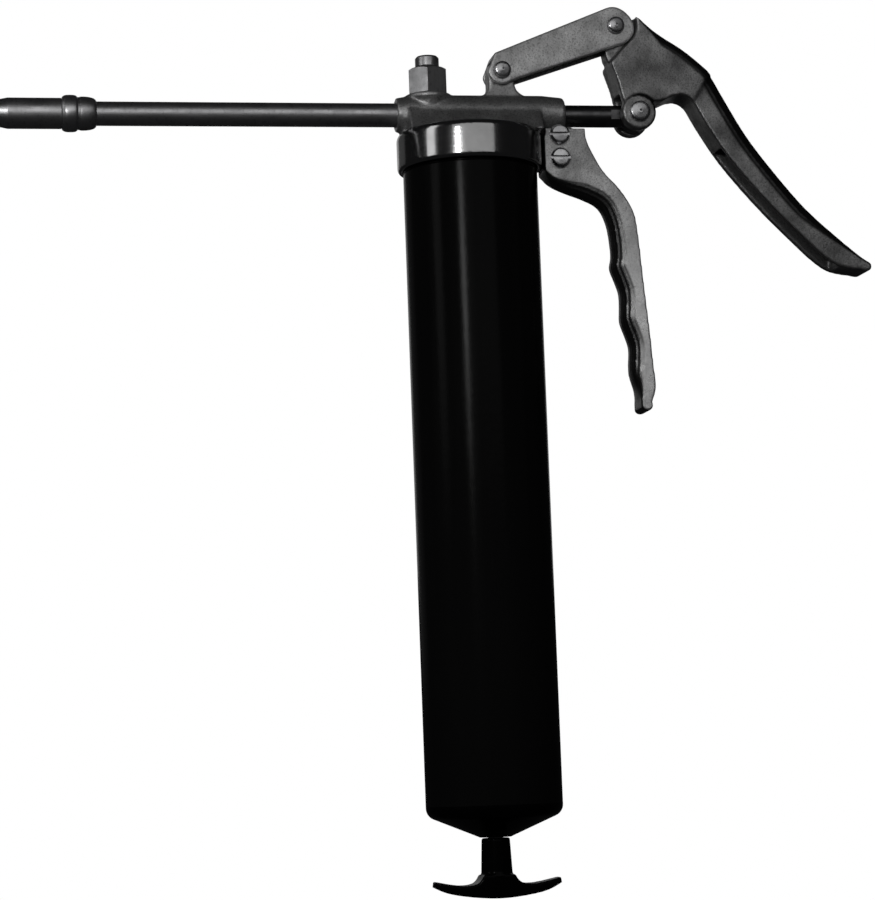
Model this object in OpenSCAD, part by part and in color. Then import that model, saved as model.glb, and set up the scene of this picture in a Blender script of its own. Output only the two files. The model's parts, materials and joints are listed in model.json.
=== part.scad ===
// Lever grease gun with a screw-on barrel, a straight outlet pipe and a nipple coupler.
// Frame: Z runs up the barrel's axis, the origin is on that axis at the tube's lower end,
// X points from the outlet pipe towards the lever, and Y across the lever's pins.

/* [Barrel] */
// Outside diameter of the barrel tube
barrel_d = 57.2; // [56.8:0.1:57.3]
// Wall thickness of the barrel tube
barrel_wall = 1.2; // [1:0.1:1.5]
// Length of the barrel tube
barrel_top = 280.5; // [280:0.5:281]
// How far the end cap's cone drops below the barrel
cap_drop = 13.3; // [12:0.1:15]

/* [Head] */
// Outside diameter of the skirt that screws over the barrel
skirt_d = 62; // [61.5:0.1:64]
// Height of the skirt's lower edge
skirt_bottom = 268.5; // [267:0.5:270]
// Height of the head's flat deck
deck_z = 285; // [284.5:0.5:286]
// Height of the pump's axis, shared by plunger, valve, pipe and coupler
pump_z = 292.8; // [292.5:0.1:293]
// Outside diameter of the pump body at its middle
pump_d = 17.4; // [17:0.1:18]
// Diameter of the plunger
plunger_d = 9.5; // [9:0.1:9.6]

/* [Lever] */
// Fulcrum pin, from the barrel's axis
fulcrum_x = 14.4; // [14:0.1:15]
// Fulcrum pin's height
fulcrum_z = 311.4; // [311:0.1:312]
// Pin that joins the link and the lever, from the barrel's axis
link_pin_x = 65.1; // [65:0.1:65.2]
// Height of the pin that joins the link and the lever
link_pin_z = 331.4; // [331.3:0.1:331.5]
// Pin that joins the lever and the plunger, from the barrel's axis
plunger_pin_x = 73.2; // [73.1:0.1:73.3]
// Diameter of the three pins
pin_d = 6; // [5.8:0.1:6]
// Width of the lever's body, across the pins
lever_w = 18; // [17.6:0.1:18.4]
// Width of the lever's handle
handle_w = 17; // [15:0.5:17.5]
// Width of the link, across the pins
link_w = 13.6; // [13.2:0.1:13.8]
// Width of the fixed grip
grip_w = 14; // [13.5:0.5:14.5]

/* [Outlet] */
// Outside diameter of the extension pipe
pipe_d = 10.2; // [10:0.1:10.3]
// Bore of the extension pipe
pipe_bore = 6.4; // [5.5:0.1:6.8]
// Distance from the barrel's axis to the coupler's mouth
mouth_x = 199; // [198:0.5:200]
// Diameter of the nipple that the coupler's jaws take
nipple_d = 6.6; // [6.5:0.1:6.7]

/* [Hidden] */

$fn = 64;
eps = 0.01;
run_gap = 0.05;          // radial clearance of a running fit
side_gap = 0.3;          // clearance between moving faces
barrel_r = barrel_d / 2;
bore_r = barrel_r - barrel_wall;
pump_r = pump_d / 2;
plunger_r = plunger_d / 2;
pin_r = pin_d / 2;
tongue_w = link_w - 4.6; // the lug and the lever's tongue, inside the link's cheeks

// places along the pump's axis, from the outlet end to the plunger's eye
pump_left = -31.5;
pump_right = 41.5;
pipe_seat = -24;         // where the pipe's end stops in the head
valve_seat = -14.5;      // face that the outlet ball closes
bore_end = -13;          // blind end of the plunger's bore
seal_x = 7;              // groove of the plunger's seal
spring_x = 10;           // blind end of the return spring's chamber
gland_x = 38.3;          // inner face of the gland
plunger_front = 6;       // plunger's front face at rest
chamber_r = 6.5;         // return spring's chamber
outlet_ball_r = 2.4;
outlet_hole_r = 1.6;
filler_seat = 315.7;     // face inside the nipple that its ball closes

// follower, rod and handle
rod_r = 3.2;
spring_seat = -3.6;      // where the follower's spring stands in the end cap
follower_z = 259;        // underside of the rubber cup at rest
pull_travel = 215;       // how far the handle draws the follower down
hub_foot = -29;          // lower end of the T-handle's hub
hub_floor = -27;         // where the rod's end stops in the hub

// grip and its lug
lug_t = 8;
grip_wall = 3;
grip_round = 5;
screw_r = 2.5;
screw_x = 38.1;
screw_zs = [283.2, 273];

// coupler, from the pipe outwards
adapter_end = 172.5;     // face that the sleeve is screwed up to, from the barrel's axis
sleeve_r = 6.5;

// ---------- curves ----------

// point of a Catmull-Rom curve between p[i] and p[i + 1]
function curve_point(p, i, t) =
    let (a = p[max(i - 1, 0)], b = p[i], c = p[i + 1], d = p[min(i + 2, len(p) - 1)])
    0.5 * (2 * b + (c - a) * t + (2 * a - 5 * b + 4 * c - d) * t * t
           + (3 * b - a - 3 * c + d) * t * t * t);

// smooth curve through the points p, with n pieces in each span
function smooth(p, n = 4) =
    concat([for (i = [0 : len(p) - 2], k = [0 : n - 1]) curve_point(p, i, k / n)],
           [p[len(p) - 1]]);

// curve p moved sideways by d, to the left of its direction for d > 0; the move grows from
// nothing over the first fade_in points, and shrinks to nothing over the last fade_out points
function shifted(p, d, fade_in = 0, fade_out = 0) =
    [for (i = [0 : len(p) - 1])
        let (v = p[min(i + 1, len(p) - 1)] - p[max(i - 1, 0)],
             share = min(fade_in == 0 ? 1 : i / fade_in,
                         fade_out == 0 ? 1 : (len(p) - 1 - i) / fade_out, 1))
        p[i] + share * d * [-v[1], v[0]] / norm(v)];

function slice(p, a, b) = [for (i = [a : b]) p[i]];

// points on an arc about c, from angle a0 to a1
function arc(c, r, a0, a1, n = 12) =
    [for (i = [0 : n]) let (a = a0 + (a1 - a0) * i / n) c + r * [cos(a), sin(a)]];

function reversed(p) = [for (i = [len(p) - 1 : -1 : 0]) p[i]];

function tube_section(c, side, a) = [for (k = [0 : side - 1])
    let (b = 360 * k / side) c[0] * [cos(a), sin(a), 0] + [0, 0, c[1]]
        + c[2] * (cos(b) * [cos(a), sin(a), 0] + sin(b) * [0, 0, 1])];

// a compression spring along Z from z = 0 to length, with flattened pitch at both ends
module spring(r, wire, length, turns, sides = 6, per_turn = 16) {
    rings = turns * per_turn;
    rise = length - wire;
    points = [for (i = [0 : rings])
        let (s = i / rings, lift = s - 0.5 * sin(360 * s) / 3.14159 / 2)
        each tube_section([r - wire / 2, wire / 2 + rise * lift, wire / 2], sides,
                          360 * i / per_turn)];
    sides_of = [for (i = [0 : rings - 1], k = [0 : sides - 1])
        let (a = i * sides + k, b = i * sides + (k + 1) % sides)
        [a, b, b + sides, a + sides]];
    ends = [[for (k = [sides - 1 : -1 : 0]) k], [for (k = [0 : sides - 1]) rings * sides + k]];
    polyhedron(points, concat([for (f = sides_of) reversed(f)], [reversed(ends[0])],
                              [reversed(ends[1])]), convexity = 10);
}

// ---------- small shapes ----------

// turns a shape made along Z so that it lies along X, pointing to -X
module along_minus_x(x) { translate([x, 0, pump_z]) rotate([0, -90, 0]) children(); }

// cylinder on the pump's axis from x0 to x1
module axis_rod(x0, x1, r) {
    translate([x0, 0, pump_z]) rotate([0, 90, 0]) cylinder(h = x1 - x0, r = r);
}

// cylinder across the gun, centred on y = 0
module cross_rod(x, z, r, length) {
    translate([x, 0, z]) rotate([90, 0, 0]) cylinder(h = length, r = r, center = true);
}

// plate in the XZ plane, centred on y = 0
module plate(points, thickness) {
    rotate([90, 0, 0]) linear_extrude(thickness, center = true) polygon(points);
}

// pin across the gun: shank, domed head at the front and a groove for its clip at the back
module clip_pin(x, z, half, head_r) {
    translate([x, 0, z]) rotate([90, 0, 0]) difference() {
        union() {
            translate([0, 0, -half - 2.6]) cylinder(h = 2 * half + 2.6 + eps, r = pin_r);
            translate([0, 0, half + side_gap]) rotate_extrude()
                polygon(concat([[0, 0], [head_r, 0]], arc([head_r - 0.9, 0.7], 0.9, 0, 70, 4),
                               [[0, 2.1]]));
            translate([0, 0, half - eps]) cylinder(h = side_gap + 2 * eps, r = pin_r);
        }
        translate([0, 0, -half - 1.5]) difference() {
            cylinder(h = 0.9, r = pin_r + 1);
            cylinder(h = 0.9, r = pin_r - 0.7);
        }
    }
}

// open ring that snaps into a pin's groove
module pin_clip(x, z, half) {
    translate([x, 0, z]) rotate([90, 0, 0]) translate([0, 0, -half - 1.45]) difference() {
        cylinder(h = 0.8, r = pin_r + 1.7);
        translate([0, 0, -eps]) cylinder(h = 1, r = pin_r - 0.68);
        translate([0, -1.5, -eps]) cube([pin_r + 3, 3, 1]);
    }
}

module hex_prism(across_flats, h) { cylinder(h = h, d = across_flats / cos(30), $fn = 6); }

// hexagon with its upper corners turned off at 30 degrees, as nuts have
module turned_hex(across_flats, h) {
    r = across_flats / 2;
    intersection() {
        hex_prism(across_flats, h);
        rotate_extrude() polygon([[0, 0], [r + 2, 0], [r + 2, h - 1.6], [r - 0.4, h], [0, h]]);
    }
}

// ---------- head ----------

module pump_outside() {
    profile = concat([[0, pump_left], [7.2, pump_left]],
                     smooth([[7.2, pump_left], [8.0, -27], [8.6, -21], [pump_r, -14]], 3),
                     [[pump_r, 32], [8.2, 37], [7.9, pump_right - 0.8], [7.2, pump_right],
                      [0, pump_right]]);
    translate([0, 0, pump_z]) rotate([0, 90, 0]) rotate_extrude() polygon(profile);
}

module skirt() {
    r = skirt_d / 2;
    rotate_extrude() polygon(concat(
        [[0, skirt_bottom], [r - 0.9, skirt_bottom], [r, skirt_bottom + 1.1]],
        arc([r - 3, deck_z - 3], 3, 0, 90, 6), [[0, deck_z + 0.6]]));
}

module head_casting() color("silver") difference() {
    union() {
        skirt();
        pump_outside();
        // web from the deck up to the pump body
        translate([-27, 0, 0]) rotate([90, 0, 90]) linear_extrude(57)
            polygon([[-15, deck_z - 1], [15, deck_z - 1], [8.5, pump_z + 1], [-8.5, pump_z + 1]]);
        // filler boss
        translate([-17, 0, pump_z]) rotate_extrude()
            polygon([[0, 0], [7.5, 0], [9.2, 5.6], [10, 6.6], [10, 8.2], [9.5, 8.7], [0, 8.7]]);
        // fulcrum lug with its flared foot
        cross_rod(fulcrum_x, fulcrum_z, 5.5, tongue_w);
        plate(concat([[fulcrum_x - 5.5, fulcrum_z]],
                     smooth([[8.9, 307], [8.6, 303.5], [5.5, 300.2]], 3),
                     [[5.5, pump_z], [25, pump_z]],
                     smooth([[25, 300.2], [21, 303], [20, 307]], 3),
                     [[fulcrum_x + 5.5, fulcrum_z]]), tongue_w);
        // lug that carries the grip
        plate(concat([[29.4, 269.7], [38.2, 264.7]], arc([41.5, 268.5], 3.8, -90, 0, 5),
                     [[45.3, 286.5], [40, pump_z], [29.4, pump_z]]), lug_t);
    }
    // socket for the barrel and its gasket
    translate([0, 0, skirt_bottom - 5]) cylinder(h = barrel_top + 1.6 - skirt_bottom + 5,
                                                 r = barrel_r + run_gap * 2);
    // pump bore, seal groove, return spring's chamber
    axis_rod(bore_end, pump_right, plunger_r + run_gap);
    axis_rod(seal_x, seal_x + 2.2, plunger_r + 1.5);
    axis_rod(spring_x, pump_right + 5, chamber_r);
    // outlet passage, valve chamber and the pipe's socket
    axis_rod(valve_seat - eps, bore_end + eps, outlet_hole_r);
    axis_rod(pipe_seat - eps, valve_seat, 3.2);
    axis_rod(pump_left - 1, pipe_seat, pipe_d / 2 + 0.02);
    // intake port from the barrel, and the filler's slanted passage beside the valve
    translate([2, 0, deck_z - 6]) cylinder(h = pump_z - deck_z + 6, r = 2);
    translate([-17, 3, 297.7]) rotate([-147.5, 0, 0]) cylinder(h = 20, r = 1.2);
    translate([-17, 0, 297.5]) cylinder(h = 6, r = 4.52);
    // holes for the fulcrum pin and the grip's screws
    cross_rod(fulcrum_x, fulcrum_z, pin_r, lug_t * 3);
    for (z = screw_zs) cross_rod(screw_x, z, screw_r + 0.05, lug_t * 3);
}

module plunger_seal() color("dimgray")
    translate([seal_x + 1.1, 0, pump_z]) rotate([0, 90, 0]) rotate_extrude()
        translate([plunger_r + 0.76, 0]) circle(r = 0.72, $fn = 24);

module plunger_gland() color("goldenrod") difference() {
    axis_rod(gland_x, pump_right - 0.2, chamber_r - 0.02);
    axis_rod(gland_x - 1, pump_right + 1, plunger_r + run_gap);
    // two slots for a pin spanner
    for (s = [-1, 1]) translate([pump_right - 1.6, s * 5.9 - 1, pump_z - 1]) cube([3, 2, 2]);
}

module outlet_check_ball() color("lightgray")
    translate([valve_seat - sqrt(pow(outlet_ball_r, 2) - pow(outlet_hole_r, 2)) - 0.02, 0, pump_z])
        sphere(r = outlet_ball_r);

module outlet_check_spring() color("lightgray")
    along_minus_x(-18.35) spring(1.9, 0.4, 4.1, 5, 6, 12);

module outlet_valve_retainer() color("goldenrod") difference() {
    axis_rod(pipe_seat + 0.02, pipe_seat + 1.5, 3.18);
    axis_rod(pipe_seat - 1, pipe_seat + 2, 1.3);
}

// ---------- fixed grip ----------

grip_outer = [[49.5, 286], [50.5, 279.5], [56.5, 267.8], [63.8, 259.5], [69.3, 250], [71, 239.5],
              [72.6, 218], [74.4, 196], [75.2, 183], [75.9, 174], [73.9, 167.5]];
grip_inner = [[31.2, 267.4], [34.5, 262.8], [41, 259.3], [49, 256.2], [55.4, 252.6], [58.6, 246],
              [59.9, 238], [60.2, 231], [59.4, 226.2], [61.4, 220.4], [63, 215], [63, 208.5],
              [62.8, 203], [64.8, 197], [66.3, 191.5], [66, 185], [66.2, 180], [68.2, 173.5],
              [69.2, 168.5]];

module fixed_grip() color("silver") difference() {
    outer = smooth(grip_outer, 3);
    inner = smooth(grip_inner, 3);
    // round back on the finger side: plates of growing width, each a little further in
    for (a = [0 : 22.5 : 90]) {
        inset = grip_round * (1 - cos(a));
        plate(concat([[49.5, 286], [32, 286], [31.2, 281]], shifted(inner, inset, 8, 8),
                     arc([71.6, 166.3], 2.7, 205, 350, 8), reversed(outer)),
              grip_w - 2 * grip_round * (1 - sin(a)));
    }
    // channel between the cheeks, open towards the lever
    plate(concat([[32, 297], [60, 297]], shifted(outer, 6), [[71.8, 172]],
                 reversed(shifted(slice(inner, 6, len(inner) - 7), grip_wall)),
                 [[29, 269.5], [29, 297]]), lug_t + 0.1);
    // the cheeks are hollowed where they meet the pump body
    axis_rod(28, 56, pump_r + run_gap);
    for (z = screw_zs) cross_rod(screw_x, z, screw_r + 0.05, grip_w * 2);
}

module grip_screws() color("gainsboro")
    for (z = screw_zs) translate([screw_x, 0, z]) rotate([90, 0, 0]) {
        translate([0, 0, -grip_w / 2 - 3.6]) cylinder(h = grip_w + 3.6, r = screw_r);
        difference() {
            translate([0, 0, grip_w / 2]) rotate_extrude()
                polygon([[0, -eps], [4.3, -eps], [4.3, 1.2], [3.4, 2.3], [0, 2.6]]);
            translate([-5, -0.6, grip_w / 2 + 1.2]) cube([10, 1.2, 3]);
        }
    }

module grip_nuts() color("gainsboro")
    for (z = screw_zs) translate([screw_x, grip_w / 2 + 3, z]) rotate([90, 0, 0]) difference() {
        hex_prism(8, 3);
        translate([0, 0, -1]) cylinder(h = 5, r = screw_r);
    }

// ---------- outlet pipe and coupler ----------

module extension_pipe() color("gainsboro") difference() {
    axis_rod(-165, pipe_seat, pipe_d / 2);
    axis_rod(-170, pipe_seat + 1, pipe_bore / 2);
}

// domed nut on the pipe's end, with a bead beside the sleeve and a threaded shank inside it
module coupler_adapter() color("gainsboro") difference() {
    dome = smooth([[5.4, 158.3], [6.3, 159.2], [6.95, 161.5], [7.1, 164.4], [6.85, 165.4]], 3);
    bead = smooth([[6.85, 166], [7.6, 167], [7.8, 169.2], [7.6, 171.4], [6.9, adapter_end]], 3);
    union() {
        translate([0, 0, pump_z]) rotate([0, -90, 0]) rotate_extrude()
            polygon(concat([[0, 158.3]], dome, bead, [[0, adapter_end]]));
        axis_rod(-adapter_end - 3.5, eps - adapter_end, 4.98);
    }
    axis_rod(-165, -157, pipe_d / 2 + 0.02);
    axis_rod(-168.5 - eps, -165 + eps, 1.4);
    axis_rod(-177, -168.5, 2.6);
}

module coupler_sleeve() color("gainsboro")
    translate([0, 0, pump_z]) rotate([0, -90, 0]) rotate_extrude() polygon([
        [5, adapter_end], [6.2, adapter_end], [sleeve_r, adapter_end + 0.5], [sleeve_r, 195],
        [5.7, mouth_x],
        [4.2, mouth_x], [4.2, 197.6], [5, 192]]);

// four jaws around the nipple, cut apart by two crossing slots
module coupler_jaws() color("gray") difference() {
    translate([0, 0, pump_z]) rotate([0, -90, 0]) rotate_extrude() polygon([
        [nipple_d / 2 + 0.1, 189.6], [4.9, 189.6], [4.9, 191.9], [4.1, 197.5], [4.1, 198.4],
        [nipple_d / 2 + 0.7, 198.4], [nipple_d / 2 + 0.1, 197.6]]);
    translate([-200, -0.4, pump_z - 8]) cube([12, 0.8, 16]);
    translate([-200, -8, pump_z - 0.4]) cube([12, 16, 0.8]);
}

module coupler_seal() color("dimgray") difference() {
    axis_rod(-189.5, -185.5, 4.6);
    axis_rod(-192, -184, 1.2);
}

module coupler_piston() color("gray") difference() {
    union() {
        axis_rod(-185.5, -182.4, 4.7);
        axis_rod(-182.5, -180.5, 3.4);
    }
    axis_rod(-186, -180, 1.2);
}

module coupler_spring() color("lightgray")
    along_minus_x(-176.1) spring(4.7, 0.8, 6.2, 4, 6, 16);

module coupler_check_ball() color("lightgray")
    translate([-168.5 - sqrt(2 * 2 - 1.4 * 1.4) - 0.02, 0, pump_z]) sphere(r = 2);

module coupler_check_spring() color("lightgray")
    along_minus_x(-171.7) spring(1.8, 0.35, 8.7, 8, 6, 12);

// ---------- filler ----------

module filler_nipple() color("gainsboro") translate([-17, 0, 0]) difference() {
    union() {
        translate([0, 0, 298.2]) cylinder(h = 4, r = 4.5);
        translate([0, 0, 301.55]) rotate(20) turned_hex(15.9, 11.2);
        translate([0, 0, 312.7]) rotate_extrude()
            polygon([[0, 0], [6.2, 0], [5.1, 1.2], [5.1, 4.8], [4.4, 5.6], [0, 5.6]]);
    }
    translate([0, 0, 297]) cylinder(h = filler_seat - 297, r = 2.6);
    translate([0, 0, filler_seat - 1]) cylinder(h = 5, r = 1.4);
}

module filler_ball() color("lightgray")
    translate([-17, 0, filler_seat - sqrt(2.2 * 2.2 - 1.4 * 1.4) - 0.02]) sphere(r = 2.2);

module filler_spring() color("lightgray")
    translate([-17, 0, 298.3]) spring(2, 0.4, filler_seat - 302, 9, 6, 12);

// ---------- link, lever and pins ----------

F = [fulcrum_x, fulcrum_z];
T = [link_pin_x, link_pin_z];
P = [plunger_pin_x, pump_z];
link_end_r = 8.7;

link_flat = 1.1;         // how much the link's end is flattened towards the lever's back

link_end = [for (i = [0 : 18]) let (a = 112.5 - i * 10.25)
    T + (link_end_r - link_flat * pow(max(0, cos(a - 45)), 3)) * [cos(a), sin(a)]];
link_outline = concat([[11.4, 318.9]], link_end, [[23.8, 308.5]], arc(F, 6.2, -50, -175, 8));

module link() color("silver") difference() {
    plate(link_outline, link_w);
    // channel under the top web, open below and at the lever's end
    plate([[0, 313.5], [11, 316.2], [T[0] - 2, T[1] + 6.9], [T[0] + 20, T[1] + 6.9],
           [T[0] + 20, T[1] - 30], [F[0], F[1] - 20], [0, F[1] - 20]], tongue_w + 0.6);
    // the web stops above the pin, so that the lever's tongue can swing
    plate([[T[0] + 0.5, T[1]], [T[0] + 0.5, T[1] + 20], [T[0] + 20, T[1] + 20],
           [T[0] + 20, T[1]]], tongue_w + 0.6);
    cross_rod(F[0], F[1], pin_r + run_gap, 40);
    cross_rod(T[0], T[1], pin_r, 40);
}

module fulcrum_pin() color("gainsboro") clip_pin(F[0], F[1], link_w / 2, 3.6);
module fulcrum_clip() color("dimgray") pin_clip(F[0], F[1], link_w / 2);
module link_pin() color("gainsboro") clip_pin(T[0], T[1], link_w / 2, 3.6);
module link_pin_clip() color("dimgray") pin_clip(T[0], T[1], link_w / 2);
module plunger_pin() color("gainsboro") clip_pin(P[0], P[1], lever_w / 2 + 1.2, 4.4);
module plunger_pin_clip() color("dimgray") pin_clip(P[0], P[1], lever_w / 2 + 1.2);

boss_r = 7.6;
body_round = 5;          // rounding of the body's back
handle_round = 6.5;      // rounding of the handle's back
palm_line = [[73, 335.6], [83.9, 328.5], [94.2, 322.1], [102.4, 315.5], [107.4, 310.4], [113, 300.2],
             [121.7, 284.8], [131.7, 270.8], [147, 252.2], [162.6, 237.4], [173.7, 226.9]];
finger_line = [[89, 300.2], [93.5, 300.6], [97.6, 298], [102.4, 289.4], [112.3, 273.9],
               [127.6, 255.4], [143.1, 239.4], [153.5, 229.6], [160.5, 225.4], [169.6, 223.8]];

palm = smooth(palm_line, 3);
fingers = smooth(finger_line, 3);
body_end = 12;           // points of the palm's curve that belong to the body

// how far a layer of a rounded back lies in from the crest, and how much narrower it is
function layer_inset(r, a) = r * (1 - cos(a));
function layer_trim(r, a) = 2 * r * (1 - sin(a));

// body of the lever, kept clear of the link's round end and of its lower edge at full squeeze
module body_shape() {
    for (a = [0 : 22.5 : 90])
        plate(concat(arc(T, link_end_r + 0.45, -46.4, 27, 10),
                     shifted(slice(palm, 1, body_end), -layer_inset(body_round, a), 3),
                     reversed(slice(fingers, 0, body_end / 2)), [[84.8, 298.3]],
                     arc(P, boss_r, 40, -215, 20), [[66, 300.5], [64.6, 306.5], [61.8, 314.9]]),
              lever_w - layer_trim(body_round, a));
}

// handle, with the same round back down to its tip
module handle_shape() {
    back = slice(palm, body_end - 3, len(palm) - 1);
    for (a = [0 : 22.5 : 90])
        plate(concat(shifted(back, -layer_inset(handle_round, a), 0, 6),
                     arc([172.1, 225.4], 2.2, 40, -100, 6), reversed(fingers), [[93, 308]]),
              handle_w - layer_trim(handle_round, a));
}

lever_tongue = concat(arc(T, 6.5, 60, 215, 12),
                      [[60.8, 317.5], [66, 309], [88, 309], [88, 324], [76, 332]]);

module lever() color("silver") difference() {
    union() {
        body_shape();
        plate(lever_tongue, tongue_w);
        // boss that stands proud around the plunger's pin
        cross_rod(P[0], P[1], boss_r - 0.3, lever_w + 2.4);
        handle_shape();
    }
    // channel in the handle, open towards the grip
    plate(concat(shifted(slice(palm, 16, len(palm) - 4), -4), [[160, 219]],
                 reversed(shifted(slice(fingers, 12, len(fingers) - 7), -4))), handle_w - 6);
    // slot for the plunger's eye, around its pin and down to its left
    plate(concat(arc(P, 8.8, -40, 90, 12), [[P[0] - 30, P[1] + 8.8], [P[0] - 30, P[1] - 30],
                                            [P[0] + 6.7, P[1] - 30]]), tongue_w + 0.2);
    cross_rod(T[0], T[1], pin_r + run_gap, 40);
    cross_rod(P[0], P[1], pin_r, 40);
}

module plunger() color("gainsboro") difference() {
    union() {
        axis_rod(plunger_front, 62, plunger_r);
        axis_rod(36.6, 38, chamber_r - 0.3);
        intersection() {
            union() {
                axis_rod(60, P[0], plunger_r);
                cross_rod(P[0], P[1] - 0.5, 6.2, 20);
            }
            translate([58, -4.3, pump_z - 10]) cube([30, 8.6, 20]);
        }
    }
    // upright slot, so that the pin can rise and fall a little as the lever swings
    for (dz = [0.15, -1.15]) cross_rod(P[0], P[1] + dz, pin_r + run_gap * 2, 20);
    translate([P[0] - pin_r - run_gap * 2, -10, P[1] - 1.15])
        cube([2 * pin_r + run_gap * 4, 20, 1.3]);
}

module plunger_return_spring() color("lightgray")
    translate([spring_x + 0.1, 0, pump_z]) rotate([0, 90, 0]) spring(6.3, 1.1, 26.4, 6, 8, 20);

// ---------- barrel ----------

module barrel_gasket() color("dimgray") difference() {
    translate([0, 0, barrel_top + 0.05]) cylinder(h = 1.5, r = barrel_r - 0.1);
    translate([0, 0, barrel_top - 1]) cylinder(h = 4, r = bore_r - 2.5);
}

module barrel_tube() color("#141414") difference() {
    cylinder(h = barrel_top, r = barrel_r);
    translate([0, 0, -1]) cylinder(h = barrel_top + 2, r = bore_r);
    // rolled thread, as rings
    for (k = [0 : 5]) translate([0, 0, barrel_top - 2.4 - 2 * k]) rotate_extrude()
        translate([barrel_r + 0.35, 0]) circle(r = 0.75, $fn = 24);
}

module end_cap() color("#141414") difference() {
    rotate_extrude() polygon(concat(
        [[0, 3], [bore_r - 0.02, 3], [bore_r - 0.02, -0.02], [barrel_r, -0.02]],
        arc([barrel_r - 5, -0.6], 5, 0, -67, 6), [[7.2, -cap_drop + 0.3], [6.6, -cap_drop]],
        [[0, -cap_drop]]));
    // hollow, with a flat seat for the follower's spring
    rotate_extrude() polygon([[0, 4], [bore_r - 1.6, 4], [bore_r - 1.6, spring_seat + 1],
                              [bore_r - 2.6, spring_seat], [20, spring_seat],
                              [8.4, -cap_drop + 2.2], [0, -cap_drop + 2.2]]);
    translate([0, 0, -20]) cylinder(h = 30, r = 5.02);
}

module rod_bushing() color("goldenrod") difference() {
    union() {
        translate([0, 0, -cap_drop + 0.02]) cylinder(h = 4.6, r = 5);
        translate([0, 0, -cap_drop + 2.22]) cylinder(h = 2.4, r = 6.6);
    }
    translate([0, 0, -20]) cylinder(h = 30, r = rod_r + run_gap);
}

// ---------- follower, rod and handle ----------

module follower_spring() color("lightgray")
    translate([0, 0, spring_seat + 0.05]) spring(24, 2.6, follower_z - 3.25 - spring_seat, 11, 8, 24);

module follower_cup() color("#202020") difference() {
    translate([0, 0, follower_z]) rotate_extrude() polygon([
        [0, 0], [26.2, 0], [bore_r - 0.08, 1.4], [bore_r - 0.08, 8], [25.6, 8], [24, 3], [0, 3]]);
    translate([0, 0, follower_z - 1]) cylinder(h = 6, r = rod_r + 0.02);
}

module follower_plate() color("silver") difference() {
    translate([0, 0, follower_z - 3]) rotate_extrude() polygon([
        [0, 1.4], [20, 1.4], [21, 0], [25, 0], [25, 3], [0, 3]]);
    translate([0, 0, follower_z - 5]) cylinder(h = 8, r = rod_r + 0.02);
}

module follower_nut() color("gainsboro") difference() {
    translate([0, 0, follower_z + 3.02]) hex_prism(12, 4);
    translate([0, 0, follower_z]) cylinder(h = 8, r = rod_r + 0.02);
}

module follower_rod() color("gainsboro") difference() {
    translate([0, 0, hub_floor]) cylinder(h = follower_z + 8.5 - hub_floor, r = rod_r);
    // groove that catches on the cap when the rod is drawn right out
    translate([0, 0, pull_travel - cap_drop + 1.2]) difference() {
        cylinder(h = 3, r = rod_r + 1);
        translate([0, 0, -1]) cylinder(h = 5, r = rod_r - 1);
    }
}

// T-handle: a tapered hub and a wing bar that curves up, thinner and narrower at its tips
module t_handle() color("#141414") difference() {
    underside = smooth([[-27, -33], [-18, -36.5], [0, -38.4], [18, -36.5], [27, -33]], 5);
    right_top = smooth([[26.7, -30.6], [16, -32.7], [9.2, -32], [6.6, -28.6]], 3);
    left_top = [for (p = reversed(right_top)) [-p[0], p[1]]];
    wing_side = smooth([[27, 0.1], [26, 3.6], [14, 5.8], [0, 7]], 3);
    union() {
        translate([0, 0, hub_foot]) cylinder(h = -cap_drop - 0.3 - hub_foot, r1 = 6.6, r2 = 5.9);
        intersection() {
            plate(concat(underside, right_top, left_top), 30);
            translate([0, 0, -50]) linear_extrude(40) polygon(concat(
                wing_side, [for (p = reversed(wing_side)) [-p[0], p[1]]],
                [for (p = wing_side) [-p[0], -p[1]]],
                [for (p = reversed(wing_side)) [p[0], -p[1]]]));
        }
    }
    translate([0, 0, hub_floor - 0.02]) cylinder(h = 20, r = rod_r + 0.01);
}

head_casting();
fixed_grip();
grip_screws();
grip_nuts();
plunger_seal();
plunger_gland();
outlet_check_ball();
outlet_check_spring();
outlet_valve_retainer();
extension_pipe();
coupler_adapter();
coupler_sleeve();
coupler_jaws();
coupler_seal();
coupler_piston();
coupler_spring();
coupler_check_ball();
coupler_check_spring();
filler_nipple();
filler_ball();
filler_spring();
fulcrum_pin();
fulcrum_clip();
link();
link_pin();
link_pin_clip();
lever();
plunger_pin();
plunger_pin_clip();
plunger();
plunger_return_spring();
barrel_gasket();
barrel_tube();
end_cap();
rod_bushing();
follower_spring();
follower_cup();
follower_plate();
follower_nut();
follower_rod();
t_handle();
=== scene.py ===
# %% [markdown]
# # A lever grease gun
# The gun is a black enamelled barrel screwed into a cast pump head. A steel pipe and a coupler
# stand out to the left, a cast lever and grip to the right. The packed CAD model is loaded first,
# and every piece that is made here takes its place and its size from it.

# %% Load the frame
import json
import math

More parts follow.
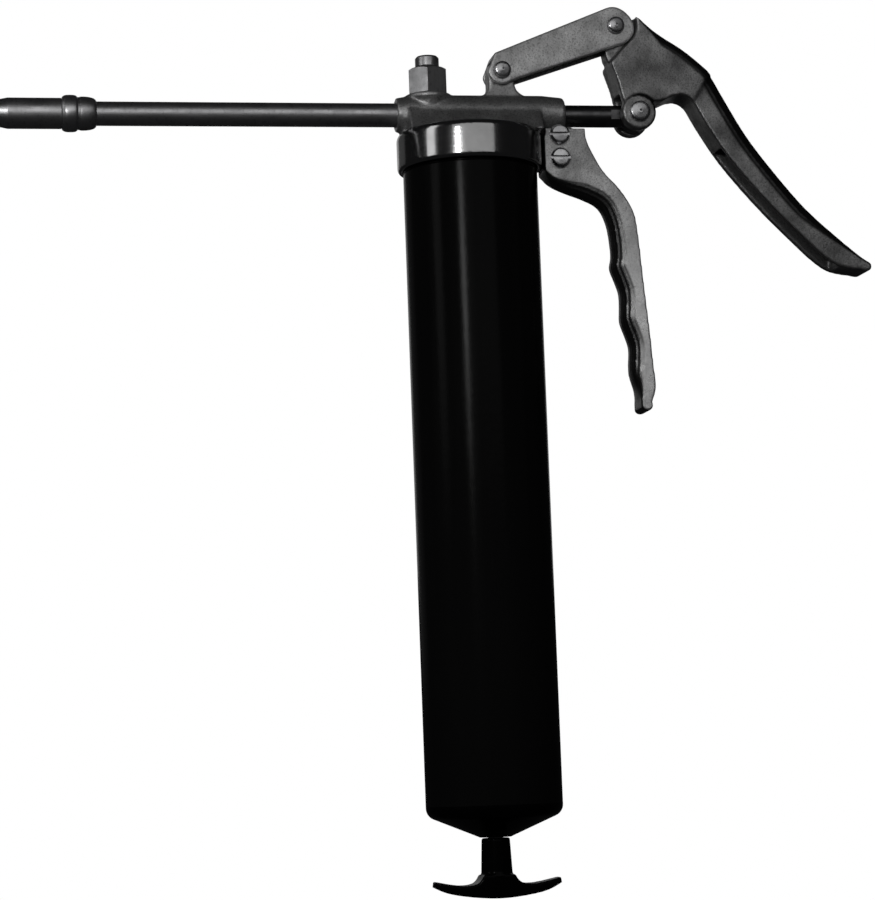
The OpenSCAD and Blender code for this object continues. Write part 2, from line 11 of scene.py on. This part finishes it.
import bmesh
import bpy
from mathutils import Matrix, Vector


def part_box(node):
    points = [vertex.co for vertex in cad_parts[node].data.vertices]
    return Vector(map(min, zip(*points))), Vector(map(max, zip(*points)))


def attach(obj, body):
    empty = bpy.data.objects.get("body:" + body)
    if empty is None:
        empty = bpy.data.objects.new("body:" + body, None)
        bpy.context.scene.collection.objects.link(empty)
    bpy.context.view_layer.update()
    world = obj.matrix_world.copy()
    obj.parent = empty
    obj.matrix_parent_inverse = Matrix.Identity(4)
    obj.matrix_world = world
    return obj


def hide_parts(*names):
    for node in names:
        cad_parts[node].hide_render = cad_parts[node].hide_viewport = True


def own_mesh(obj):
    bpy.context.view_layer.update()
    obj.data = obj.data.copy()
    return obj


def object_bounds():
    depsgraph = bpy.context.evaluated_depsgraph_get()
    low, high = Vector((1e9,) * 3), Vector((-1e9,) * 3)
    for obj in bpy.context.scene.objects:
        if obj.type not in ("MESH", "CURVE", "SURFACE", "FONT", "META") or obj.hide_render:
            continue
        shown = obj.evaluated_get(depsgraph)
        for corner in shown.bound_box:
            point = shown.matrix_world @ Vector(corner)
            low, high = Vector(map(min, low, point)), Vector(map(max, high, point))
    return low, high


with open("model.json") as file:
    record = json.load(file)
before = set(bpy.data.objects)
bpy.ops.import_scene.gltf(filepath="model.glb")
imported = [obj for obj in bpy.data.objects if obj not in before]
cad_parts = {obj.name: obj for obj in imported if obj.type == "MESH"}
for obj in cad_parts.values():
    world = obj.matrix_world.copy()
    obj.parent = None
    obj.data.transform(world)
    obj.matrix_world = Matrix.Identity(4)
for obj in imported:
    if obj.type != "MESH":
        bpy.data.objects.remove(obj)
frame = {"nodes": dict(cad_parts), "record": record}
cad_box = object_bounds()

MM = 0.001
low, high = (Vector(corner) for corner in cad_box)
centre = (low + high) / 2
print("gun size in mm:", [round(side / MM, 1) for side in high - low])

# %% [markdown]
# ## Camera
# The gun is seen from its left front, a little from below, with the camera tilted slightly. A long
# lens far away keeps the barrel's sides nearly parallel, so the view is a lens of about 114 mm at
# 1.2 m. The aim is a point near the middle of the gun's box.

# %% Camera
CAMERA_AZIMUTH = math.radians(-10.44)
CAMERA_ELEVATION = math.radians(-6.53)
CAMERA_ROLL = math.radians(-2.1)
CAMERA_DISTANCE = 1.2
CAMERA_LENS = 113.99
AIM = centre + Vector((-6.19, 0, -1.63)) * MM


def add_camera():
    back = Vector((math.sin(CAMERA_AZIMUTH) * math.cos(CAMERA_ELEVATION),
                   -math.cos(CAMERA_AZIMUTH) * math.cos(CAMERA_ELEVATION),
                   math.sin(CAMERA_ELEVATION)))
    data = bpy.data.cameras.new("camera")
    data.lens = CAMERA_LENS
    data.clip_end = 100
    camera = bpy.data.objects.new("camera", data)
    bpy.context.collection.objects.link(camera)
    camera.location = AIM + back * CAMERA_DISTANCE
    look = back.to_track_quat("Z", "Y")
    camera.rotation_euler = look.to_euler()
    camera.rotation_euler.rotate_axis("Z", CAMERA_ROLL)
    bpy.context.scene.camera = camera
    return camera


camera = add_camera()
print("camera stands at", [round(v, 3) for v in camera.location])

# %% [markdown]
# ## Studio
# Polished and enamelled metal shows its surroundings, so the lights are large soft panels with
# dark gaps between them: the bands on the skirt and the long streak on the barrel are these
# panels' reflections. The world is a dim grey for light and a clean white for the background.

# %% Lights
AIM_HEIGHT = 0.27
PANELS = {
    # name: azimuth in degrees, height, distance, (width, height), radiance
    "front_panel": (-3, 0.85, 1.6, (2.05, 1.0), 0.58),
    "left_panel": (-73, 0.75, 1.3, (0.36, 0.9), 1.4),
    "streak_panel": (-28, 0.40, 1.0, (0.13, 0.24), 14.0),
    "rear_left_panel": (-150, 0.6, 1.6, (0.9, 1.0), 0.07),
    "rear_panel": (172, 0.7, 1.6, (1.5, 1.0), 0.45)}


def add_panel(name, azimuth, height, distance, size, radiance):
    """A soft light that stands around the gun and faces its head."""
    data = bpy.data.lights.new(name, "AREA")
    data.shape = "ELLIPSE" if name == "streak_panel" else "RECTANGLE"
    data.size, data.size_y = size
    data.energy = radiance * math.pi * size[0] * size[1]
    panel = bpy.data.objects.new(name, data)
    panel.visible_camera = False
    bpy.context.collection.objects.link(panel)
    angle = math.radians(azimuth)
    panel.location = Vector((math.sin(angle) * distance, -math.cos(angle) * distance, height))
    aim = Vector((0, 0, AIM_HEIGHT))
    panel.rotation_euler = (panel.location - aim).to_track_quat("Z", "Y").to_euler()
    print(name, "gives", round(data.energy, 2), "W")


for name, settings in PANELS.items():
    add_panel(name, *settings)


# %% World
def set_world():
    world = bpy.data.worlds.new("studio")
    bpy.context.scene.world = world
    world.use_nodes = True
    nodes, links = world.node_tree.nodes, world.node_tree.links
    nodes.clear()
    dim = nodes.new("ShaderNodeBackground")
    dim.inputs["Color"].default_value = (0.012, 0.012, 0.0125, 1)
    pale = nodes.new("ShaderNodeBackground")
    pale.inputs["Color"].default_value = (1, 1, 1, 1)
    path = nodes.new("ShaderNodeLightPath")
    pick = nodes.new("ShaderNodeMixShader")
    out = nodes.new("ShaderNodeOutputWorld")
    links.new(path.outputs["Is Camera Ray"], pick.inputs["Fac"])
    links.new(dim.outputs[0], pick.inputs[1])
    links.new(pale.outputs[0], pick.inputs[2])
    links.new(pick.outputs[0], out.inputs["Surface"])


set_world()
bpy.context.scene.view_settings.view_transform = "Standard"
print("world:", bpy.context.scene.world.name)

# %% [markdown]
# ## Shader sums
# Wear, grain and stains are sums of noise. Written as node links they are hard to read, so one
# small class wraps a socket and turns `+`, `-` and `*` into Math nodes, also with a plain number
# on the left, as in `1 - mask`. Everything else, from noise to bump, comes from the one method
# `node`.

# %% Value and Shader
class Value:
    """A number that varies over the surface: the output socket of a node."""

    def __init__(self, shader, socket):
        self.shader, self.socket = shader, socket

    def sum(self, operation, first, second, clamp=False):
        return self.shader.node("ShaderNodeMath", {"operation": operation, "use_clamp": clamp},
                                {0: first, 1: second})

    def __add__(self, other):
        return self.sum("ADD", self, other)

    def __sub__(self, other):
        return self.sum("SUBTRACT", self, other)

    def __rsub__(self, other):
        return self.sum("SUBTRACT", other, self)

    def __mul__(self, other):
        return self.sum("MULTIPLY", self, other)

    __radd__ = __add__
    __rmul__ = __mul__

    def clamp(self):
        """The same value, held between 0 and 1."""
        return self.sum("ADD", self, 0, clamp=True)


class Shader:
    """A material and the nodes that feed its Principled shader."""

    def __init__(self, name, **constants):
        self.material = bpy.data.materials.new(name)
        self.material.use_nodes = True
        self.nodes = self.material.node_tree.nodes
        self.links = self.material.node_tree.links
        self.surface = self.nodes["Principled BSDF"]
        for socket, value in constants.items():
            self.surface.inputs[socket.replace("_", " ")].default_value = value

    def node(self, kind, settings=None, inputs=None, output=0):
        """Adds any node: first its settings, then the values or links of its sockets."""
        made = self.nodes.new(kind)
        for key, value in (settings or {}).items():
            if key == "stops":
                self.set_stops(made.color_ramp, value)
            else:
                setattr(made, key, value)
        for key, value in (inputs or {}).items():
            if isinstance(value, Value):
                self.links.new(value.socket, made.inputs[key])
            else:
                made.inputs[key].default_value = value
        return Value(self, made.outputs[output])

    def set_stops(self, ramp, stops):
        while len(ramp.elements) < len(stops):
            ramp.elements.new(0.5)
        for element, (place, grey) in zip(ramp.elements, stops):
            element.position = place
            element.color = (*([grey] * 3), 1) if isinstance(grey, (int, float)) else (*grey, 1)

    def place(self, stretch=(1, 1, 1)):
        """Where the point lies on the gun; a stretch below 1 draws a pattern out."""
        here = self.node("ShaderNodeTexCoord", output="Object")
        return self.node("ShaderNodeVectorMath", {"operation": "MULTIPLY"},
                         {0: here, 1: stretch})

    def noise(self, size, detail=3, stretch=(1, 1, 1), rough=0.55):
        """Noise with lumps of about this size, in metres."""
        return self.node("ShaderNodeTexNoise", None, {
            "Vector": self.place(stretch), "Scale": 1 / size, "Detail": detail,
            "Roughness": rough})

    def ramp(self, value, stops):
        return self.node("ShaderNodeValToRGB", {"stops": stops}, {"Fac": value})

    def mix(self, mask, first, second):
        """The first colour where the mask is 0, the second where it is 1."""
        factor, colour_a, colour_b, result = 0, 6, 7, 2
        inputs = {factor: mask}
        for socket, colour in ((colour_a, first), (colour_b, second)):
            inputs[socket] = colour if isinstance(colour, Value) else (*colour, 1)
        return self.node("ShaderNodeMix", {"data_type": "RGBA"}, inputs, output=result)

    def below(self, height, blend):
        """1 where the surface lies below this height, 0 above it."""
        here = self.node("ShaderNodeTexCoord", output="Object")
        up = self.node("ShaderNodeSeparateXYZ", None, {0: here}, output=2)
        return self.node("ShaderNodeMapRange", {"clamp": True},
                         {0: up, 1: height - blend, 2: height + blend, 3: 1.0, 4: 0.0})

    def facing(self, direction, start, end):
        """1 where the surface faces this direction, 0 where it turns away."""
        normal = self.node("ShaderNodeTexCoord", output="Normal")
        turned = self.node("ShaderNodeVectorMath", {"operation": "DOT_PRODUCT"},
                           {0: normal, 1: direction}, output="Value")
        return self.node("ShaderNodeMapRange", {"clamp": True},
                         {0: turned, 1: start, 2: end, 3: 0.0, 4: 1.0})

    def edges(self, start=0.52, end=0.6):
        """1 on worn convex edges, 0 elsewhere."""
        point = self.node("ShaderNodeNewGeometry", output="Pointiness")
        return self.node("ShaderNodeMapRange", {"clamp": True},
                         {0: point, 1: start, 2: end, 3: 0.0, 4: 1.0})

    def bump(self, height, depth, strength=1.0):
        """Raises the surface by this depth, in metres, where the height is 1."""
        normal = self.node("ShaderNodeBump", None, {
            "Height": height, "Distance": depth, "Strength": strength})
        self.links.new(normal.socket, self.surface.inputs["Normal"])

    def set(self, socket, value):
        self.links.new(value.socket, self.surface.inputs[socket])


print("shader helpers:", [name for name in vars(Shader) if not name.startswith("_")])

# %% [markdown]
# ## Cast alloy
# The head, link, lever and grip are castings. A casting's skin is a fine grain under a soft
# sheen, with darker stains where grease has settled and brighter metal where hands rub the edges.
# Two sizes of noise give the grain and the stains; pointiness finds the rubbed edges. The skirt is
# turned on a lathe, the grip's lower part is rubbed bright by the hand, and the lever's palm side
# and the grip's finger side are painted shade, darkened almost to black. Height and direction
# masks put these three where they belong.

# %% Cast alloy
GRAIN_DEPTH = 0.00018
SKIRT_TOP, GRIP_WAIST = 0.2845, 0.235
# directions that get painted shade: the lever's palm side and the grip's finger side
PALM_SIDE, FINGER_SIDE = (0.8, 0, 0.6), (-0.85, 0, -0.53)


def make_cast_alloy(name, dark, light, turned_below=None, hand_worn=None, shaded_side=None):
    """Cast skin; below one height it is turned smooth, or worn bright by the hand, and the
    sides that face one given direction get painted shade: their colour is darkened almost to
    black."""
    s = Shader(name, Metallic=0.85, Specular_IOR_Level=0.5)
    stain = s.ramp(s.noise(0.011, 5), [(0.35, 0.0), (0.68, 1.0)])
    grain = s.noise(0.0011, 4, rough=0.7)
    speck = s.ramp(s.noise(0.0007, 2), [(0.52, 0.0), (0.62, 1.0)])
    worn = s.edges(0.515, 0.56)
    base = s.mix(stain, (dark,) * 3, (light,) * 3)
    specked = s.mix(speck * 0.45, base, (0.3 * dark,) * 3)
    colour = s.mix(worn * 0.6, specked, (min(1.5 * light, 0.8),) * 3)
    roughness = 0.38 - stain * 0.08 + grain * 0.16 - worn * 0.1
    height = grain + stain * 0.4 + s.noise(0.004, 2) * 1.2
    if turned_below:
        smooth = s.below(turned_below, 0.0006)
        rings = s.noise(0.0007, 2, (0.02, 0.02, 1))
        colour = s.mix(smooth, colour, s.mix(stain * 0.5, (0.42,) * 3, (0.3,) * 3))
        roughness = roughness * (1 - smooth) + (0.1 + rings * 0.06 + stain * 0.04) * smooth
        height = height * (1 - smooth) + rings * smooth * 0.25
        s.set("Metallic", 0.85 + smooth * 0.15)
    if hand_worn:
        rubbed = s.below(hand_worn, 0.03)
        colour = s.mix(rubbed * 0.8, colour, (0.86,) * 3)
        roughness = roughness - rubbed * 0.12
        height = height * (1 - rubbed * 0.65)
    if shaded_side:
        # painted shade: faces turned towards this direction get a colour near black, as if they
        # lay in shadow
        black = s.facing(shaded_side, 0.04, 0.3)
        colour = s.mix(black * 0.92, colour, (0.012,) * 3)
        roughness = roughness + black * 0.06
    s.set("Base Color", colour)
    s.set("Roughness", roughness)
    s.bump(height, GRAIN_DEPTH, 0.8)
    return s.material


# the lever gets painted shade on its palm side, the grip on its finger side
cast_alloy = make_cast_alloy("cast_alloy", 0.17, 0.36, shaded_side=PALM_SIDE)
head_alloy = make_cast_alloy("head_alloy", 0.3, 0.56, turned_below=SKIRT_TOP)
grip_alloy = make_cast_alloy("grip_alloy", 0.4, 0.74, hand_worn=GRIP_WAIST,
                             shaded_side=FINGER_SIDE)
link_alloy = make_cast_alloy("link_alloy", 0.42, 0.74)
print("made", [material.name for material in bpy.data.materials])

# %% [markdown]
# ## Black enamel
# The barrel, its cap and the handle are stoved gloss black. Enamel is never perfectly flat: a
# faint orange peel breaks the reflections, fine rubbing marks dull it in places, and edges wear
# to a dark grey.

# %% Black enamel
def make_enamel():
    s = Shader("black_enamel", Metallic=0.0, Specular_IOR_Level=0.04)
    peel = s.noise(0.0028, 2)
    rub = s.ramp(s.noise(0.03, 5, (1, 1, 0.35)), [(0.45, 0.0), (0.75, 1.0)])
    scratch = s.ramp(s.noise(0.0016, 2, (1, 1, 0.05)), [(0.66, 0.0), (0.74, 1.0)])
    worn = s.edges(0.53, 0.6)
    base = s.mix(rub, (0.0015, 0.0015, 0.0016), (0.003, 0.003, 0.0032))
    s.set("Base Color", s.mix(worn * 0.5, base, (0.012, 0.012, 0.012)))
    s.set("Roughness", 0.17 + rub * 0.06 + scratch * 0.06)
    s.bump(peel, 0.00006, 0.5)
    return s.material


black_enamel = make_enamel()
print("made", black_enamel.name)

# %% [markdown]
# ## Steels, brass and rubber
# Drawn pipe shows fine lines along its length, turned parts show rings, wire is dull and dark
# steel is oiled. They are one recipe with other numbers: a stretched noise for the tool's marks,
# a soft noise for stains, and a slight bump.

# %% Metals
def make_metal(name, dark, light, roughness, lines):
    """Bare metal; its tool marks run out along the axis where lines is small."""
    s = Shader(name, Metallic=1.0)
    tool = s.noise(0.0009, 3, lines)
    stain = s.ramp(s.noise(0.009, 5), [(0.36, 0.0), (0.7, 1.0)])
    fleck = s.ramp(s.noise(0.0016, 3), [(0.55, 0.0), (0.66, 1.0)])
    tone = s.mix((stain * 0.75 + tool * 0.25).clamp(), light, dark)
    s.set("Base Color", s.mix(fleck * 0.3, tone, tuple(0.6 * c for c in dark)))
    s.set("Roughness", (roughness + stain * 0.14 + tool * 0.1).clamp())
    s.bump(tool + fleck * 0.5, 0.00002, 0.7)
    return s.material


ALONG_X = (0.04, 1, 1)
ALONG_Z = (1, 1, 0.04)
AROUND_X = (1, 0.05, 0.05)
EVEN = (1, 1, 1)
bright_steel = make_metal("bright_steel", (0.34, 0.34, 0.35), (0.7, 0.7, 0.71), 0.26, ALONG_X)
pin_steel = make_metal("pin_steel", (0.36, 0.36, 0.37), (0.66, 0.66, 0.67), 0.16, EVEN)
coupler_steel = make_metal("coupler_steel", (0.34, 0.34, 0.345), (0.68, 0.68, 0.69), 0.27,
                           AROUND_X)
dark_steel = make_metal("dark_steel", (0.05, 0.05, 0.055), (0.13, 0.13, 0.135), 0.36, EVEN)
black_steel = make_metal("black_steel", (0.07, 0.07, 0.072), (0.18, 0.18, 0.184), 0.2, ALONG_X)
spring_steel = make_metal("spring_steel", (0.2, 0.2, 0.21), (0.45, 0.45, 0.46), 0.3, EVEN)
rod_steel = make_metal("rod_steel", (0.34, 0.34, 0.35), (0.64, 0.64, 0.65), 0.2, ALONG_Z)
sheet_steel = make_metal("sheet_steel", (0.36, 0.36, 0.34), (0.6, 0.6, 0.57), 0.32, EVEN)
brass = make_metal("brass", (0.36, 0.23, 0.07), (0.68, 0.48, 0.18), 0.25, AROUND_X)


def make_rubber():
    s = Shader("rubber", Metallic=0.0, Specular_IOR_Level=0.35)
    bloom = s.ramp(s.noise(0.006, 5), [(0.4, 0.0), (0.75, 1.0)])
    s.set("Base Color", s.mix(bloom, (0.012, 0.012, 0.012), (0.035, 0.034, 0.033)))
    s.set("Roughness", 0.6 + bloom * 0.2)
    s.bump(s.noise(0.0012, 4), 0.00006, 0.6)
    return s.material


rubber = make_rubber()
print("made", len(bpy.data.materials), "materials in all")

# %% [markdown]
# ## Finishes on the CAD nodes
# Every node of the CAD model gets its finish, also the small ones that only show when the barrel
# is off or the gun is taken apart. Small turned and stamped parts keep their CAD mesh; the pins,
# the grip screws and nuts and the filler nipple have their edges broken by a narrow bevel so that
# they catch a line of light.

# %% Finish every node
FINISH = {
    "cast_alloy": cast_alloy, "bright_steel": bright_steel, "coupler_steel": coupler_steel,
    "dark_steel": dark_steel, "spring_steel": spring_steel, "brass": brass, "rubber": rubber,
    "black_enamel": black_enamel, "plated_sheet": sheet_steel}
PINS = ("fulcrum_pin", "link_pin", "plunger_pin", "grip_screws", "grip_nuts", "follower_nut")
slot_of = {row["node"]: row["material_slot"] for row in frame["record"]["subparts"]}


def finish_of(node):
    if node in PINS:
        return pin_steel
    if node == "plunger":
        return black_steel
    return rod_steel if node == "follower_rod" else FINISH[slot_of[node]]


def dress(piece, material):
    piece.data.materials.clear()
    piece.data.materials.append(material)


for node, piece in frame["nodes"].items():
    for place in piece.material_slots:
        place.material = finish_of(node)
print("finished", len(frame["nodes"]), "nodes")

# %% Broken edges
SEAM, BROKEN_EDGE = 0.02 * MM, 0.25 * MM


def join_seams(piece):
    """Joins the CAD mesh's faces along their shared edges."""
    weld = piece.modifiers.new("weld", "WELD")
    weld.merge_threshold = SEAM


def break_edges(node):
    piece = frame["nodes"][node]
    join_seams(piece)
    bevel = piece.modifiers.new("bevel", "BEVEL")
    bevel.width = BROKEN_EDGE
    bevel.segments = 3
    bevel.limit_method = "ANGLE"
    bevel.angle_limit = math.radians(35)
    bevel.harden_normals = True


for node in ("fulcrum_pin", "link_pin", "plunger_pin", "grip_screws", "grip_nuts",
             "filler_nipple"):
    break_edges(node)
    print("broke the edges of", node)

# %% [markdown]
# ## Castings
# A casting has no sharp edge: corners are rounded by the pattern, and inner corners are filled
# by fillets. The CAD shapes have the right sizes but crisp edges, so each casting is copied,
# rebuilt from small voxels and smoothed a few times. That rounds the outer corners and fills the
# inner ones in one go, as sand and molten metal do.

# %% Castings from the CAD shapes
def cast_piece(node, body, voxel, passes, material=cast_alloy):
    piece = bpy.data.objects.new(node + "_cast", frame["nodes"][node].data.copy())
    bpy.context.collection.objects.link(piece)
    join_seams(piece)
    remesh = piece.modifiers.new("remesh", "REMESH")
    remesh.mode = "VOXEL"
    remesh.voxel_size = voxel
    smooth = piece.modifiers.new("smooth", "SMOOTH")
    smooth.factor = 0.5
    smooth.iterations = passes
    shape = bpy.data.meshes.new_from_object(
        piece.evaluated_get(bpy.context.evaluated_depsgraph_get()))
    piece.modifiers.clear()
    piece.data = shape
    shape.polygons.foreach_set("use_smooth", [True] * len(shape.polygons))
    dress(piece, material)
    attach(piece, body)
    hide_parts(node)
    print(piece.name, "has", len(shape.polygons), "faces")
    return piece


head = cast_piece("head_casting", "head", 0.0006, 6, head_alloy)
cast_piece("fixed_grip", "head", 0.0005, 9, grip_alloy)
cast_piece("link", "rocker", 0.0005, 6, link_alloy)
cast_piece("lever", "lever", 0.0006, 9)
cast_piece("t_handle", "pull_rod", 0.0005, 5, black_enamel)

# %% [markdown]
# ## The pump's bore
# Smoothing also closes a bore a little, and the plunger would rub in it. A real casting is bored
# on a machine after it has cooled. Here the points of the bore's wall are pushed out to the
# finished radius, all along the plunger's travel.

# %% Ream the bore
BORE_START, BORE_END, BORE_RADIUS = -12.5 * MM, 41.5 * MM, 4.9 * MM


def ream(piece, start, end, height, radius):
    """Opens a bore along X to its finished radius."""
    for vertex in piece.data.vertices:
        offset = vertex.co - Vector((0, 0, height))
        away = math.hypot(offset.y, offset.z)
        if start < offset.x < end and radius * 0.5 < away < radius:
            vertex.co.y = offset.y * radius / away
            vertex.co.z = height + offset.z * radius / away


seal_low, seal_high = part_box("plunger_seal")
pump_height = (seal_low[2] + seal_high[2]) / 2
ream(head, BORE_START, BORE_END, pump_height, BORE_RADIUS)
print("pump's axis at height", round(pump_height / MM, 1), "mm")

# %% [markdown]
# ## Springs
# A spring's wire follows a helix whose coils lie close at both ends. It is swept as a round tube
# along that helix: rings of points first, then faces between each ring and the next.

# %% Coil of wire
SIDES, RINGS_PER_TURN = 10, 28
X, Z = 0, 2


def coil_points(start, end, axis, turns, wire):
    """Rings of points around a helix that fills the box from start to end."""
    middle = (start + end) / 2
    across = [k for k in range(3) if k != axis]
    radius = max((end - start)[k] for k in across) / 2 - wire / 2
    length = end[axis] - start[axis] - wire
    rings = turns * RINGS_PER_TURN
    points = []
    for ring in range(rings + 1):
        share = ring / rings
        pitch = share - math.sin(2 * math.pi * share) / 4 / math.pi
        along = start[axis] + wire / 2 + length * pitch
        angle = 2 * math.pi * ring / RINGS_PER_TURN
        for side in range(SIDES):
            turn = 2 * math.pi * side / SIDES
            reach = radius + wire / 2 * math.cos(turn)
            point = Vector((0, 0, 0))
            point[across[0]] = middle[across[0]] + reach * math.cos(angle)
            point[across[1]] = middle[across[1]] + reach * math.sin(angle)
            point[axis] = along + wire / 2 * math.sin(turn)
            points.append(point)
    return points


def tube_faces(rings):
    """Four-sided faces between neighbouring rings, and a cap at each end."""
    faces = []
    for ring in range(rings):
        for side in range(SIDES):
            a, b = ring * SIDES + side, ring * SIDES + (side + 1) % SIDES
            faces.append((a, b, b + SIDES, a + SIDES))
    faces.append(tuple(range(SIDES)))
    faces.append(tuple(rings * SIDES + side for side in reversed(range(SIDES))))
    return faces


def coil_mesh(name, start, end, axis, turns, wire):
    mesh = bpy.data.meshes.new(name)
    mesh.from_pydata(coil_points(start, end, axis, turns, wire), [],
                     tube_faces(turns * RINGS_PER_TURN))
    shape = bmesh.new()
    shape.from_mesh(mesh)
    bmesh.ops.recalc_face_normals(shape, faces=shape.faces)
    shape.to_mesh(mesh)
    shape.free()
    mesh.polygons.foreach_set("use_smooth", [True] * len(mesh.polygons))
    return mesh


print("a turn of wire has", SIDES * RINGS_PER_TURN, "faces")

# %% [markdown]
# ## Springs in their places
# Each spring is a coil of wire that fills the box of its CAD part, and it is hung on the body
# that carries that part.

# %% Springs
def spring_piece(node, body, axis, turns, wire):
    start, end = (Vector(corner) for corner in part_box(node))
    name = node + "_wire"
    piece = bpy.data.objects.new(name, coil_mesh(name, start, end, axis, turns, wire))
    bpy.context.collection.objects.link(piece)
    dress(piece, spring_steel)
    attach(piece, body)
    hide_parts(node)
    direction = Vector((0, 0, 0))
    direction[axis] = 1
    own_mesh(piece)


# node, body, axis, turns and wire of each spring
spring_piece("follower_spring", "barrel", Z, 11, 2.6 * MM)
spring_piece("plunger_return_spring", "head", X, 6, 1.1 * MM)
spring_piece("outlet_check_spring", "head", X, 5, 0.4 * MM)
spring_piece("filler_spring", "head", Z, 9, 0.4 * MM)
spring_piece("coupler_spring", "head", X, 4, 0.8 * MM)
spring_piece("coupler_check_spring", "head", X, 8, 0.35 * MM)

# %% [markdown]
# ## Floor
# A plain pale floor lies well below the gun, which hangs in the air. It lies so deep that the
# handle stays clear of it when the follower is drawn right back.

# %% Floor
FLOOR_DROP, FLOOR_HALF = 0.3, 2.5


def add_floor():
    depth = low.z - FLOOR_DROP
    corners = [(-1, -1), (1, -1), (1, 1), (-1, 1)]
    mesh = bpy.data.meshes.new("floor")
    mesh.from_pydata([(x * FLOOR_HALF, y * FLOOR_HALF, depth) for x, y in corners], [],
                     [(0, 1, 2, 3)])
    floor = bpy.data.objects.new("floor", mesh)
    bpy.context.collection.objects.link(floor)
    paint = Shader("floor_paint", Roughness=0.9, Emission_Strength=0.75)
    paint.set("Base Color", paint.ramp(paint.noise(0.4, 3), [(0.3, 0.80), (0.7, 0.84)]))
    paint.surface.inputs["Emission Color"].default_value = (1, 1, 1, 1)
    dress(floor, paint.material)
    # the floor glows only towards the camera: the gun's underside stays in shade
    floor.visible_diffuse = floor.visible_glossy = False
    return floor


floor = add_floor()
print("floor lies at z =", round(low.z - FLOOR_DROP, 3))
